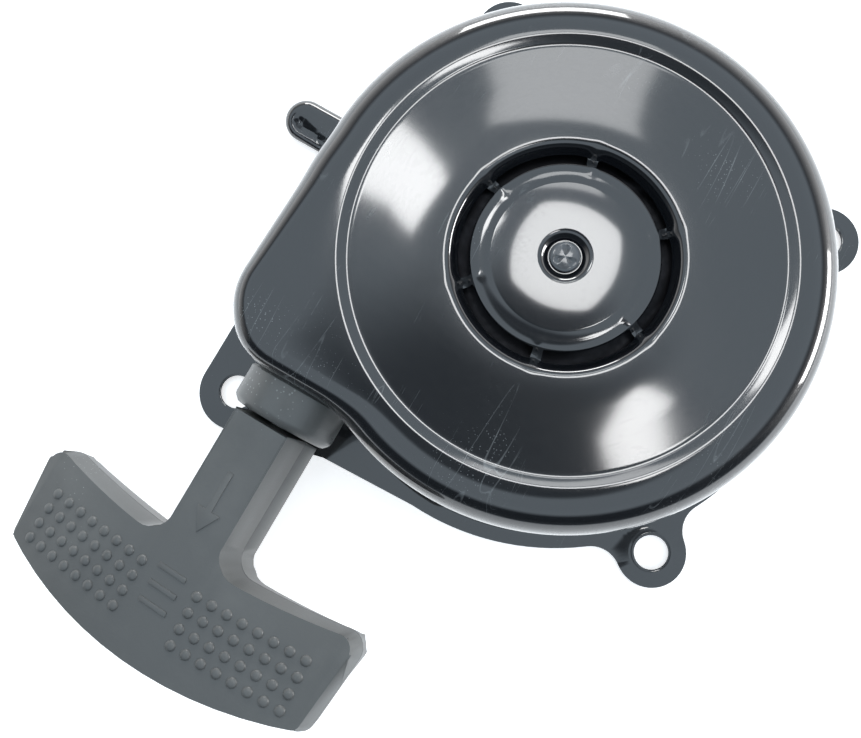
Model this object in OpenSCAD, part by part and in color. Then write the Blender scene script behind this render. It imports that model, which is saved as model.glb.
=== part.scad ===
// Recoil starter: pressed steel case with a rope reel, flat spiral spring,
// two swinging pawls and a T handle. Millimetres. The origin is on the reel's
// axis in the plane of the flange's underside; +Z points away from the engine
// and the rope pulls out along -Y.

/* [Case] */
// Outer radius of the case wall
case_r = 50; // [48:0.5:54]
// Height of the case over its flange face
case_h = 36; // [36:0.5:40]
// Thickness of the pressed sheet
sheet = 1.4; // [1.2:0.1:1.6]
// Radius of the soft bend at the top of the wall
top_bend = 8.4; // [6:0.2:9]
// Outer radius of the mounting flange
flange_r = 54; // [53:0.5:57]
// Outer radius of each mounting ear
ear_r = 7.2; // [6.5:0.1:8]
// Radius of the mounting holes, for M6 screws
hole_r = 3.5; // [3.2:0.1:3.6]
// Radius of the shallow disc pressed into the top
disc_r = 39.6; // [38:0.2:40]
// Depth of the shallow disc
disc_depth = 0.6; // [0.4:0.1:0.8]

/* [Vent groove] */
// Radius of the groove's outer edge
groove_outer_r = 21.9; // [21.5:0.1:22.5]
// Radius of the slots' outer edge
slot_outer_r = 19.1; // [18.8:0.1:19.4]
// Radius of the slots' inner edge
slot_inner_r = 17.4; // [17:0.1:17.6]
// Radius of the flat centre of the boss
boss_r = 13.8; // [13:0.1:14]
// Depth of the groove under the disc
groove_depth = 2.4; // [2:0.1:2.6]
// Number of webs between the slots
web_count = 6; // [4:1:8]
// Width of each web
web_w = 1.8; // [1.4:0.1:2.4]

/* [Rope and reel] */
// Distance from the reel's axis to the pulled rope
rope_x = 32; // [31.5:0.5:33.5]
// Height of the rope over the flange face
rope_z = 20; // [20:0.2:21]
// Radius of the rope
rope_r = 1.6; // [1.4:0.1:1.7]
// Radius of the reel's flanges
reel_r = 38; // [37:0.5:40]
// Radius of the floor of the rope groove
drum_r = 26.2; // [26:0.1:27]

/* [Handle] */
// Half of the handle's width
handle_half = 37; // [34:0.5:38]
// Distance from the end of the stem to the bottom of the handle
handle_len = 51.4; // [48:0.2:54]
// Half of the handle's thickness at its middle
handle_half_t = 8.6; // [8:0.1:9]
// Half of the stem's width
stem_half = 6.6; // [6:0.1:7.5]
// Roll of the handle about the rope
handle_roll = 11; // [0:1:20]

/* [Pawls] */
// Distance of the pawl pins from the reel's axis
pawl_pin_at = 22; // [21:0.5:22]
// Length of a pawl from its pin to its tip
pawl_len = 17; // [16:0.5:17]
// Direction of a folded pawl, from the line through its pin
pawl_fold = 105; // [104:1:108]

/* [Hidden] */
$fn = 96;
fit = 0.05;
eps = 0.5;

// ---- places on the case
ear_a = [44.5, -37.5];
ear_c = [44.5, 37.5];
ear_e = [-36, 45];
ear_b = [-47, -52];
ear_b_r = 8.3;
ear_fillet = 6;
lug_at = [-64.4, 6];
lug_r = 4.6;
lug_t = 4.4;
disc_z = case_h - disc_depth;
roof_z = disc_z - sheet;
wall_in_r = case_r - sheet;
bend_in = top_bend - sheet;
bend_at = case_r - top_bend;
dimple_r = 4.5;
dimple_depth = 0.6;
rivet_hole_r = 2;

// ---- rope exit pocket, the corner of the case
exit_y = -44.5;
pocket_turn = 175;
pocket_at = [-37.9, -31.5];
pocket_r = 13;
pocket_bend = 5.2;
pocket_side_at = [-19.5, -39.5];
pocket_root_r = 7.4;
pocket_side_r = 5;

// ---- rope guide
guide_r = 10.5;
guide_len = 8;
guide_neck_r = 7;
guide_neck = sheet + 0.4;
guide_lip_r = 8.2;
guide_lip = 1.5;
guide_bore_r = 2.4;

// ---- centre post and reel heights
post_r = 6;
post_boss_r = 9;
post_low_z = 4.4;
post_step_z = 17;
post_slot_w = 1.4;
post_slot_in = 6.4;
bush_r = 7.5;
hub_r = 10;
hub_low_z = 7.4;
hub_top_z = 16.4;
web_low_z = 12;
groove_low_z = rope_z - 3.6;
groove_top_z = rope_z + 3.6;
flange_t = 2;
drum_in_r = 23;
drum_top_z = 30;

// ---- friction side
plate_low_z = 5.6;
plate_t = 1.6;
plate_r = 30;
washer_r = 9.5;
washer_t = 1.2;
screw_r = 2.5;
screw_head_r = 4.4;
screw_head_t = 2.4;

// ---- spring
strip_t = 0.7;
strip_low_z = 17.6;
strip_w = 11;
spring_in_r = 9.9;
spring_out_r = 21.2;
spring_turns = 6;
spring_steps = 20;
spring_pin_at = 22;
spring_pin_angle = 20;

// ---- cover
cover_t = 0.8;
cover_r = 26;
cover_screw_at = 24.6;
cover_screw_r = 0.9;

// ---- pawls
pawl_t = 3;
pawl_low_z = 7.8;
pawl_pin_r = 2.5;
pawl_hub_r = 4.4;
pawl_peg_at = 9;
pawl_peg_r = 1.2;
pawl_swing = 35;
plate_lag = 20;
slot_half = 1.8;

// ---- handle
handle_y = exit_y - guide_len - 0.3;
handle_low_y = handle_y - handle_len;
bottom_arc_r = 95;
top_arc_r = 172;
crotch_y = handle_low_y + 23.5;
face_arc_r = 200;
handle_bore_r = 2;
pocket_open_r = 5.2;
pocket_y = handle_low_y + 11;
knot_washer_t = 1;
knot_r = 3.4;
rope_start_y = -16.5;
reel_knot_r = 2.2;
reel_knot_drop = 2.9;
knot_y = pocket_y - knot_washer_t - 3.2;

function polar(r, a) = [r * cos(a), r * sin(a)];

// ---- the case --------------------------------------------------------------

// Half section of the solid that the outside of the case bounds.
module case_outline() {
  square([case_r, case_h - top_bend]);
  square([bend_at, case_h]);
  translate([bend_at, case_h - top_bend]) intersection() {
    circle(top_bend);
    square(top_bend);
  }
}

// Half section of the space inside the case; the groove hangs down into it.
module case_space() {
  difference() {
    union() {
      translate([0, -eps]) square([wall_in_r, case_h - top_bend + eps]);
      translate([0, -eps]) square([bend_at, roof_z + eps]);
      intersection() {
        translate([bend_at, case_h - top_bend]) circle(bend_in);
        square([case_r, roof_z]);
      }
    }
    polygon([[boss_r - 1.4, roof_z + 0.1], [slot_inner_r - 0.5, roof_z - groove_depth],
      [slot_outer_r + 0.5, roof_z - groove_depth], [groove_outer_r + 0.9, roof_z + 0.1]]);
  }
}

// Half section of what is pressed down from the top: disc, groove and dimple.
module pressed_in() {
  translate([0, disc_z]) square([disc_r, disc_depth + 1]);
  polygon([[boss_r, disc_z + 0.1], [boss_r, disc_z], [slot_inner_r, disc_z - groove_depth],
    [slot_outer_r, disc_z - groove_depth], [groove_outer_r, disc_z], [groove_outer_r, disc_z + 0.1]]);
  translate([0, disc_z - dimple_depth]) square([dimple_r, dimple_depth + 0.1]);
}

// A pocket corner: an upright round column with a rounded top edge.
module column(at, r, bend, low_z, top_z) {
  translate([at[0], at[1], 0]) rotate_extrude($fn = 32) {
    translate([0, low_z]) square([r, top_z - bend - low_z]);
    translate([0, low_z]) square([r - bend, top_z - low_z]);
    translate([r - bend, top_z - bend]) intersection() {
      circle(bend, $fn = 32);
      square(bend);
    }
  }
}

// The rope exit pocket, drawn in by t on every side.
module exit_pocket(t, low_z, top_z) {
  hull() {
    column(polar(bend_at, pocket_turn), pocket_root_r - t, pocket_root_r - t, low_z, top_z);
    column(pocket_at, pocket_r - t, pocket_bend - t, low_z, top_z);
    column(pocket_side_at, pocket_side_r - t, pocket_side_r - t, low_z, top_z);
  }
}

// A mounting ear with its two concave corners, reaching out from the flange.
module ear(at) {
  reach = norm(at);
  corner_y = ear_r + ear_fillet;
  corner_x = sqrt(pow(flange_r + ear_fillet, 2) - pow(corner_y, 2));
  root_half = corner_y * flange_r / (flange_r + ear_fillet);
  root_x = 46;
  rotate(atan2(at[1], at[0])) {
    translate([reach, 0]) circle(ear_r);
    translate([root_x, -ear_r]) square([reach - root_x, 2 * ear_r]);
    difference() {
      translate([root_x, -root_half]) square([corner_x - root_x, 2 * root_half]);
      for (side = [-1, 1]) translate([corner_x, side * corner_y]) circle(ear_fillet);
    }
  }
}

// The corner plate under the rope exit, with the fourth ear.
module corner_plate() {
  foot = [-24, -54.8];
  side_r = ear_b_r - 0.2;
  gap = foot - ear_b;
  lean = atan2(gap[1], gap[0]) - acos(side_r / norm(gap));
  translate(ear_b) circle(ear_b_r);
  polygon([[ear_b[0] - side_r, ear_b[1]], [ear_b[0] - side_r, -30], [-50, 0], [0, 0],
    [0, -flange_r + 0.3], foot, ear_b + polar(side_r, lean)]);
}

module flange_outline() {
  circle(flange_r);
  for (at = [ear_a, ear_c, ear_e]) ear(at);
  corner_plate();
}

// The round-edged lug on the side of the case.
module side_lug() {
  flat = lug_r - lug_t / 2;
  translate([lug_at[0], lug_at[1], 0]) {
    rotate_extrude() {
      square([flat, lug_t]);
      intersection() {
        translate([flat, lug_t / 2]) circle(lug_t / 2);
        translate([flat, 0]) square([lug_t, lug_t]);
      }
    }
    translate([0, 0, lug_t / 2]) rotate([90, 0, 90]) linear_extrude(18.4) {
      translate([-flat, -lug_t / 2]) square([2 * flat, lug_t]);
      for (side = [-1, 1]) translate([side * flat, 0]) circle(lug_t / 2);
    }
  }
}

module vent_slots() {
  difference() {
    rotate_extrude() translate([slot_inner_r, roof_z - groove_depth - 1])
      square([slot_outer_r - slot_inner_r, 4]);
    for (i = [0:web_count - 1]) rotate(43 + i * 360 / web_count)
      translate([0, -web_w / 2, 0]) cube([case_r, web_w, case_h]);
  }
}

module starter_case() {
  color([0.13, 0.14, 0.16]) difference() {
    union() {
      rotate_extrude() case_outline();
      exit_pocket(0, 0, case_h);
      linear_extrude(sheet) flange_outline();
      side_lug();
    }
    rotate_extrude() case_space();
    exit_pocket(sheet, -eps, roof_z);
    rotate_extrude() pressed_in();
    vent_slots();
    for (at = [ear_a, ear_c, ear_e, ear_b])
      translate([at[0], at[1], -eps]) cylinder(r = hole_r, h = sheet + 2 * eps);
    translate([-rope_x, exit_y + 4, rope_z]) rotate([90, 0, 0]) cylinder(r = guide_neck_r, h = 8);
    cylinder(r = rivet_hole_r, h = case_h);
  }
}

// The fixed stud that the reel turns on, riveted over in the case's dimple.
module centre_post() {
  color([0.62, 0.63, 0.65]) difference() {
    union() {
      translate([0, 0, post_low_z]) cylinder(r = post_r, h = post_step_z - post_low_z);
      translate([0, 0, post_step_z]) cylinder(r = post_boss_r, h = roof_z - post_step_z);
      translate([0, 0, roof_z]) cylinder(r = rivet_hole_r, h = disc_z - dimple_depth - roof_z);
      translate([0, 0, disc_z - dimple_depth]) intersection() {
        cylinder(r = 2.8, h = 1.1);
        translate([0, 0, -3.2]) sphere(4.3);
      }
    }
    translate([0, 0, post_low_z - eps]) cylinder(r = screw_r, h = 11 + eps);
    translate([post_slot_in, -post_slot_w / 2, post_step_z - eps])
      cube([post_boss_r, post_slot_w, strip_low_z + strip_w + 1 - post_step_z]);
  }
}

module rope_guide() {
  color([0.30, 0.31, 0.32]) translate([-rope_x, exit_y, rope_z]) rotate([90, 0, 0]) difference() {
    union() {
      cylinder(r = guide_r, h = guide_len);
      translate([0, 0, -guide_neck]) cylinder(r = guide_neck_r, h = guide_neck);
      translate([0, 0, -guide_neck - guide_lip]) cylinder(r = guide_lip_r, h = guide_lip);
    }
    translate([0, 0, -guide_neck - guide_lip - eps])
      cylinder(r = guide_bore_r, h = guide_len + guide_neck + guide_lip + 2 * eps);
  }
}

module ring(r_in, r_out, low_z, high_z) {
  translate([0, 0, low_z]) difference() {
    cylinder(r = r_out, h = high_z - low_z);
    translate([0, 0, -eps]) cylinder(r = r_in, h = high_z - low_z + 2 * eps);
  }
}

module thrust_washer() {
  color([0.72, 0.72, 0.70]) ring(post_r + fit, 9.4, hub_top_z + 0.1, post_step_z - 0.1);
}

module screw_washer() {
  color([0.75, 0.75, 0.73]) ring(screw_r, washer_r, post_low_z - washer_t, post_low_z);
}

module centre_screw() {
  head_z = post_low_z - washer_t - screw_head_t;
  color([0.70, 0.68, 0.60]) difference() {
    union() {
      translate([0, 0, head_z]) cylinder(r = screw_head_r, h = screw_head_t, $fn = 6);
      translate([0, 0, head_z]) cylinder(r = screw_r, h = 13);
    }
    translate([-2.6, -0.5, head_z - eps]) cube([5.2, 1, 1 + eps]);
  }
}

module brake_spring() {
  color([0.55, 0.56, 0.58]) ring(6.6, 9.2, post_low_z + 0.1, plate_low_z - 0.1);
}

// ---- the reel --------------------------------------------------------------

// The place of the rope's inner knot under the reel's lower flange.
knot_place = concat(polar(29.8, 200), [groove_low_z - reel_knot_drop]);

module reel() {
  color([0.15, 0.15, 0.16]) difference() {
    union() {
      ring(bush_r, hub_r, hub_low_z, hub_top_z);
      ring(bush_r, drum_r, web_low_z, hub_top_z);
      ring(drum_in_r, drum_r, web_low_z, drum_top_z);
      ring(drum_in_r, reel_r, groove_low_z - flange_t, groove_low_z);
      ring(drum_in_r, reel_r, groove_top_z, groove_top_z + flange_t);
    }
    for (turn = [0, 180]) rotate(turn) translate([pawl_pin_at, 0, web_low_z - eps])
      cylinder(r = pawl_pin_r, h = 3 + eps);
    translate(knot_place) cylinder(r = rope_r + fit, h = reel_knot_drop + eps);
    translate(knot_place) cylinder(r = reel_knot_r + 0.8, h = reel_knot_r + 0.1);
    rotate(spring_pin_angle) translate([spring_pin_at, 0, hub_top_z - 2]) cylinder(r = 1, h = 3);
    for (i = [0:2]) rotate(60 + 120 * i) translate([cover_screw_at, 0, drum_top_z - 5])
      cylinder(r = cover_screw_r, h = 6);
  }
}

module reel_bush() {
  color([0.70, 0.55, 0.30]) ring(post_r + fit, bush_r, hub_low_z, hub_top_z);
}

// The flat spring: a hooked inner end in the post, turns, and a loop round the pin.
function spring_r(i) = spring_in_r + (spring_out_r - spring_in_r) * i / (spring_turns * spring_steps);
function spring_a(i) = i * 360 / spring_steps;

module recoil_spring() {
  last = spring_turns * spring_steps;
  half = strip_t / 2;
  outer = [for (i = [0:last]) polar(spring_r(i) + half, spring_a(i))];
  inner = [for (i = [last:-1:0]) polar(spring_r(i) - half, spring_a(i))];
  color([0.35, 0.38, 0.45]) translate([0, 0, strip_low_z]) {
    linear_extrude(strip_w) polygon(concat(outer, inner));
    translate([post_slot_in + 0.3, -half, 0]) cube([spring_in_r - post_slot_in, strip_t, strip_w]);
  }
}

module spring_pin() {
  color([0.70, 0.70, 0.72]) rotate(spring_pin_angle) translate([spring_pin_at, 0, hub_top_z - 2])
    cylinder(r = 1, h = drum_top_z - hub_top_z + 1.5);
}

module spring_cover() {
  color([0.20, 0.20, 0.21]) difference() {
    ring(hub_r, cover_r, drum_top_z, drum_top_z + cover_t);
    for (i = [0:2]) rotate(60 + 120 * i) translate([cover_screw_at, 0, drum_top_z - eps])
      cylinder(r = cover_screw_r, h = cover_t + 2 * eps);
  }
}

module cover_screws() {
  color([0.70, 0.68, 0.60]) for (i = [0:2]) rotate(60 + 120 * i)
    translate([cover_screw_at, 0, drum_top_z]) {
      translate([0, 0, cover_t]) cylinder(r = 1.7, h = 1.1);
      translate([0, 0, -4.5]) cylinder(r = cover_screw_r, h = 4.5 + cover_t);
    }
}

module rope_winding() {
  color([0.86, 0.86, 0.84]) ring(drum_r, rope_x + rope_r, groove_low_z, groove_top_z);
}

module reel_knot() {
  color([0.86, 0.86, 0.84]) translate(knot_place) {
    sphere(reel_knot_r);
    cylinder(r = rope_r, h = reel_knot_drop);
  }
}

// ---- pawls -----------------------------------------------------------------

// A folded pawl on its pin: a round eye, a straight arm with a square tip, and a peg below.
module pawl() {
  arm_half = 2.6;
  translate([pawl_pin_at, 0, 0]) rotate(pawl_fold) difference() {
    union() {
      translate([0, 0, pawl_low_z]) {
        cylinder(r = pawl_hub_r, h = pawl_t);
        linear_extrude(pawl_t) polygon([[0, -pawl_hub_r + 0.6], [pawl_len, -1.6],
          [pawl_len, arm_half], [0, pawl_hub_r - 0.6]]);
      }
      translate([pawl_peg_at, 0, plate_low_z + 0.2])
        cylinder(r = pawl_peg_r, h = pawl_low_z - plate_low_z);
    }
    translate([0, 0, pawl_low_z - eps]) cylinder(r = pawl_pin_r + fit, h = pawl_t + 2 * eps);
  }
}

module pawl_1() {
  color([0.50, 0.50, 0.52]) pawl();
}

module pawl_2() {
  color([0.50, 0.50, 0.52]) rotate(180) pawl();
}

module pawl_pins() {
  color([0.72, 0.72, 0.74]) for (turn = [0, 180]) rotate(turn) translate([pawl_pin_at, 0, 0]) {
    translate([0, 0, pawl_low_z - 0.1]) cylinder(r = pawl_pin_r, h = web_low_z + 3 - pawl_low_z + 0.1);
    translate([0, 0, pawl_low_z - 0.3]) cylinder(r = 3.3, h = 0.2);
  }
}

// A coil round the pin over the pawl, with one leg along the arm and one to the hub.
module pawl_spring() {
  wire_r = 0.4;
  coil_r = 3.4;
  coil_z = pawl_low_z + pawl_t + 0.6;
  translate([pawl_pin_at, 0, coil_z]) {
    rotate_extrude() translate([coil_r, 0]) circle(wire_r, $fn = 24);
    for (way = [pawl_fold, 172]) rotate(way) translate([coil_r - 0.1, 0, 0])
      rotate([0, 90, 0]) cylinder(r = wire_r, h = 6.5, $fn = 24);
  }
}

module pawl_spring_1() {
  color([0.60, 0.60, 0.62]) pawl_spring();
}

module pawl_spring_2() {
  color([0.60, 0.60, 0.62]) rotate(180) pawl_spring();
}

// Where a pawl's peg stands in the guide plate, folded (0) and swung out (1).
function peg_at(s) = [pawl_pin_at, 0] + polar(pawl_peg_at, pawl_fold - s * pawl_swing);
function turned(p, a) = [p[0] * cos(a) - p[1] * sin(a), p[0] * sin(a) + p[1] * cos(a)];

module peg_slot() {
  from = peg_at(0);
  to = turned(peg_at(1), plate_lag);
  run = to - from;
  translate(from) rotate(atan2(run[1], run[0])) translate([-slot_half, -slot_half])
    square([norm(run) + 2 * slot_half, 2 * slot_half]);
}

module guide_plate() {
  color([0.68, 0.66, 0.58]) translate([0, 0, plate_low_z]) linear_extrude(plate_t) difference() {
    circle(plate_r);
    circle(post_r + fit);
    for (turn = [0, 180]) rotate(turn) {
      peg_slot();
      translate([0, -19]) circle(6);
    }
  }
}

// ---- rope and handle -------------------------------------------------------

module rope_run() {
  color([0.86, 0.86, 0.84]) translate([-rope_x, rope_start_y, rope_z]) rotate([90, 0, 0])
    cylinder(r = rope_r, h = rope_start_y - knot_y);
}

module handle_knot() {
  color([0.86, 0.86, 0.84]) translate([-rope_x, knot_y, rope_z]) difference() {
    sphere(knot_r);
    rotate([-90, 0, 0]) cylinder(r = rope_r, h = knot_r + 1);
  }
}

module knot_washer() {
  color([0.75, 0.75, 0.73]) translate([-rope_x, pocket_y, rope_z]) rotate([90, 0, 0])
    ring(handle_bore_r, pocket_open_r - 0.2, 0, knot_washer_t);
}

// The handle's outline seen along its thickness: stem, arms and rounded shoulders.
module handle_outline() {
  translate([-stem_half, crotch_y - 4]) square([2 * stem_half, handle_y - crotch_y + 4]);
  intersection() {
    translate([0, handle_low_y + bottom_arc_r]) circle(bottom_arc_r, $fn = 180);
    polygon([[-handle_half, handle_y - 23.9], [-handle_half + 2.2, handle_low_y],
      [handle_half - 2.2, handle_low_y], [handle_half, handle_y - 23.9]]);
    difference() {
      translate([-handle_half, handle_low_y]) square([2 * handle_half, handle_len - 20]);
      translate([0, crotch_y + top_arc_r]) circle(top_arc_r, $fn = 180);
    }
  }
}

module handle() {
  color([0.30, 0.31, 0.32]) translate([-rope_x, 0, rope_z]) difference() {
    rotate([0, -handle_roll, 0]) intersection() {
      translate([0, 0, -handle_half_t]) linear_extrude(2 * handle_half_t) handle_outline();
      for (side = [-1, 1]) translate([0, 0, side * (face_arc_r - handle_half_t)])
        rotate([90, 0, 0]) translate([0, 0, -handle_y - 5])
          cylinder(r = face_arc_r, h = handle_len + 10, $fn = 240);
    }
    translate([0, handle_y + 1, 0]) rotate([90, 0, 0]) cylinder(r = handle_bore_r, h = handle_len);
    translate([0, pocket_y, 0]) rotate([90, 0, 0]) cylinder(r = pocket_open_r, h = handle_len);
  }
}

starter_case();
centre_post();
rope_guide();
thrust_washer();
screw_washer();
centre_screw();
brake_spring();
reel();
reel_bush();
recoil_spring();
spring_pin();
spring_cover();
cover_screws();
rope_winding();
reel_knot();
pawl_pins();
pawl_spring_1();
pawl_spring_2();
pawl_1();
pawl_2();
guide_plate();
rope_run();
handle_knot();
handle();
knot_washer();
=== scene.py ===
from math import asin, atan2, cos, degrees, exp, hypot, pi, radians, sin, sqrt, tau

import bpy
from mathutils import Matrix, Vector


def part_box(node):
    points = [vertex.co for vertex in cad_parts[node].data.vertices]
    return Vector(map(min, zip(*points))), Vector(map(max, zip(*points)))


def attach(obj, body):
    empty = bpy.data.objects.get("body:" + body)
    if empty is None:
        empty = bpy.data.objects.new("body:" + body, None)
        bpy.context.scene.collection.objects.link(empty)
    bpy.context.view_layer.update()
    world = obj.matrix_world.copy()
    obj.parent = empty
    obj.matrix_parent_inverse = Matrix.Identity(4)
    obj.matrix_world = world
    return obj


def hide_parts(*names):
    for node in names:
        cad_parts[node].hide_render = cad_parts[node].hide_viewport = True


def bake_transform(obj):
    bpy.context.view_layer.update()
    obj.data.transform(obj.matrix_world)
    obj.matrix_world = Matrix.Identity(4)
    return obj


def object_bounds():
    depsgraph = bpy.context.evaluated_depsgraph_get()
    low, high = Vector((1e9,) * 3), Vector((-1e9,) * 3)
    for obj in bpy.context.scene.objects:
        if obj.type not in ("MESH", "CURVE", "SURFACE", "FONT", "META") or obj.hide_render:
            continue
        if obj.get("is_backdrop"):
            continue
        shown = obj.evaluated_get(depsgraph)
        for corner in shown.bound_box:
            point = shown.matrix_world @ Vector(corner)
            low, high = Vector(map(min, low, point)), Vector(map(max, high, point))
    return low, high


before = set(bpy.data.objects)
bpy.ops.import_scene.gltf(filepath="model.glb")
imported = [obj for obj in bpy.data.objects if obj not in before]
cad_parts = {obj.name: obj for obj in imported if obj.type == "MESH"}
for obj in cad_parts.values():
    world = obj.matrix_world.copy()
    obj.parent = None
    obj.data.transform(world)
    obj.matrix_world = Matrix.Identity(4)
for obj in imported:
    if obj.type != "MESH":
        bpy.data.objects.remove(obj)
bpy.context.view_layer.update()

# ---- camera -----------------------------------------------------------------
# A lens of 43 mm on a 36 mm wide frame, held off the reel's axis over the rope's side.
# All shapes below are given in millimetres and made in metres.
MM = 0.001

camera_data = bpy.data.cameras.new("camera")
camera_data.lens = 43.4
camera_data.sensor_width = 36
camera_data.clip_start = 0.01
camera = bpy.data.objects.new("camera", camera_data)
camera.location = (5.99 * MM, -43.06 * MM, 219.34 * MM)
camera.rotation_euler = (radians(6.175), radians(2.434), radians(30.146))
bpy.context.collection.objects.link(camera)
bpy.context.scene.camera = camera
bpy.context.scene.view_settings.view_transform = "Standard"

# ---- floor and light --------------------------------------------------------
# A white table, a pale tent of light that is dark near the table and straight overhead, with
# a low bright band on the handle's side, and six lamps: four above the case, two at its sides.
floor_gap = 0.1

bpy.ops.mesh.primitive_plane_add(size=4, location=(0, 0, -floor_gap * MM))
table = bpy.context.object
table.name = "table"
table_white = bpy.data.materials.new("table white")
table_white.use_nodes = True
table_shader = table_white.node_tree.nodes["Principled BSDF"]
table_shader.inputs["Base Color"].default_value = (0.93, 0.93, 0.93, 1)
table_shader.inputs["Roughness"].default_value = 0.9
table_shader.inputs["Emission Color"].default_value = (1, 1, 1, 1)
table_shader.inputs["Emission Strength"].default_value = 0.62
table.data.materials.append(table_white)
table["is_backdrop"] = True

tent = bpy.data.worlds.new("tent")
bpy.context.scene.world = tent
tent.use_nodes = True
tent_nodes = tent.node_tree.nodes
tent_links = tent.node_tree.links
tent_way = tent_nodes.new("ShaderNodeTexCoord")
tent_split = tent_nodes.new("ShaderNodeSeparateXYZ")
tent_links.new(tent_way.outputs["Generated"], tent_split.inputs[0])
tent_levels = tent_nodes.new("ShaderNodeValToRGB")
tent_links.new(tent_split.outputs["Z"], tent_levels.inputs[0])
tent_tint = (0.86, 1.0, 1.12)
levels = [(0.0, 0.7), (0.03, 0.10), (0.30, 0.05), (0.55, 0.07), (0.68, 1.05), (0.85, 1.0), (0.975, 1.0),
          (0.990, 0.14)]
for height, level in levels[2:]:
    tent_levels.color_ramp.elements.new(height)
for stop, (height, level) in zip(tent_levels.color_ramp.elements, levels):
    stop.position = height
    stop.color = (*[level * tint for tint in tent_tint], 1)
tent_low = tent_nodes.new("ShaderNodeValToRGB")
tent_links.new(tent_split.outputs["Z"], tent_low.inputs[0])
for stop, (height, level) in zip(tent_low.color_ramp.elements, [(0.03, 1.0), (0.60, 0.0)]):
    stop.position = height
    stop.color = (level, level, level, 1)
tent_side = tent_nodes.new("ShaderNodeVectorMath")
tent_side.operation = "DOT_PRODUCT"
tent_side.inputs[1].default_value = (0.42, -0.91, 0)
tent_links.new(tent_way.outputs["Generated"], tent_side.inputs[0])
tent_round = tent_nodes.new("ShaderNodeMapRange")
for socket, value in ((1, 0.45), (2, -0.1), (3, 0.0), (4, 1.9)):
    tent_round.inputs[socket].default_value = value
tent_links.new(tent_side.outputs["Value"], tent_round.inputs[0])
tent_band = tent_nodes.new("ShaderNodeVectorMath")
tent_band.operation = "MULTIPLY_ADD"
tent_links.new(tent_low.outputs["Color"], tent_band.inputs[0])
tent_links.new(tent_round.outputs[0], tent_band.inputs[1])
tent_links.new(tent_levels.outputs["Color"], tent_band.inputs[2])
tent_links.new(tent_band.outputs[0], tent_nodes["Background"].inputs["Color"])
tent_nodes["Background"].inputs["Strength"].default_value = 1.1


def lamp(name, x, y, z, width, depth, turn, power):
    """A soft rectangular lamp that faces the case from (x, y, z) in mm."""
    light = bpy.data.lights.new(name, "AREA")
    light.shape = "RECTANGLE"
    light.size = width * MM
    light.size_y = depth * MM
    light.energy = power
    holder = bpy.data.objects.new(name, light)
    holder.location = (x * MM, y * MM, z * MM)
    away = Vector(holder.location).to_track_quat("Z", "Y")
    holder.rotation_mode = "QUATERNION"
    holder.rotation_quaternion = away @ Matrix.Rotation(radians(turn), 3, "Z").to_quaternion()
    bpy.context.collection.objects.link(holder)


lamp("strip_left", -145, 125, 600, 50, 60, 20, 0.11)
lamp("strip_right", 84, 52, 600, 53, 33, -30, 0.065)
lamp("boss_glow", -18, 132, 600, 80, 80, 0, 0.17)
lamp("back_glow", -77, 242, 600, 110, 70, 0, 0.09)
lamp("side_right", 420, 215, 130, 240, 110, 0, 1.6)
lamp("side_back", -210, 370, 130, 240, 110, 0, 1.0)

# ---- paint, plastic and metal marks -----------------------------------------
# What handling leaves on every surface of the starter: cloudy wiping marks, dust specks
# and fine scratches. Each finish below uses this group with its own amounts.


def node_group(name, inputs, outputs):
    """An empty shader group with its sockets; returns the tree, its input node and output node."""
    tree = bpy.data.node_groups.new(name, "ShaderNodeTree")
    for socket, kind, value in inputs:
        made = tree.interface.new_socket(name=socket, in_out="INPUT", socket_type=kind)
        if value is not None:
            made.default_value = value
    for socket, kind in outputs:
        tree.interface.new_socket(name=socket, in_out="OUTPUT", socket_type=kind)
    return tree, tree.nodes.new("NodeGroupInput"), tree.nodes.new("NodeGroupOutput")


def add_node(tree, kind, settings=None, values=None, links=None):
    """A new node with its settings, socket values and incoming links."""
    node = tree.nodes.new(kind)
    for key, value in (settings or {}).items():
        setattr(node, key, value)
    for key, value in (values or {}).items():
        node.inputs[key].default_value = value
    for key, source in (links or {}).items():
        tree.links.new(source, node.inputs[key])
    return node


FLOAT = "NodeSocketFloat"
VECTOR = "NodeSocketVector"

marks, marks_in, marks_out = node_group(
    "handling marks",
    [("Place", VECTOR, None), ("Cloud Scale", FLOAT, 60.0), ("Speck Scale", FLOAT, 700.0),
     ("Scratch Scale", FLOAT, 300.0)],
    [("Cloud", FLOAT), ("Specks", FLOAT), ("Scratches", FLOAT)])
cloud = add_node(marks, "ShaderNodeTexNoise", values={"Detail": 6.0, "Roughness": 0.62},
                 links={"Vector": marks_in.outputs["Place"], "Scale": marks_in.outputs["Cloud Scale"]})
marks.links.new(cloud.outputs["Fac"], marks_out.inputs["Cloud"])
speck = add_node(marks, "ShaderNodeTexVoronoi", values={"Randomness": 1.0},
                 links={"Vector": marks_in.outputs["Place"], "Scale": marks_in.outputs["Speck Scale"]})
speck_size = add_node(marks, "ShaderNodeTexNoise", values={"Detail": 2.0},
                      links={"Vector": marks_in.outputs["Place"], "Scale": marks_in.outputs["Cloud Scale"]})
speck_room = add_node(marks, "ShaderNodeMapRange", values={1: 0.52, 2: 0.75, 3: 0.0, 4: 0.22},
                      links={0: speck_size.outputs["Fac"]})
speck_cut = add_node(marks, "ShaderNodeMath", {"operation": "LESS_THAN"},
                     links={0: speck.outputs["Distance"], 1: speck_room.outputs[0]})
marks.links.new(speck_cut.outputs[0], marks_out.inputs["Specks"])
scratch_lines = []
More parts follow.
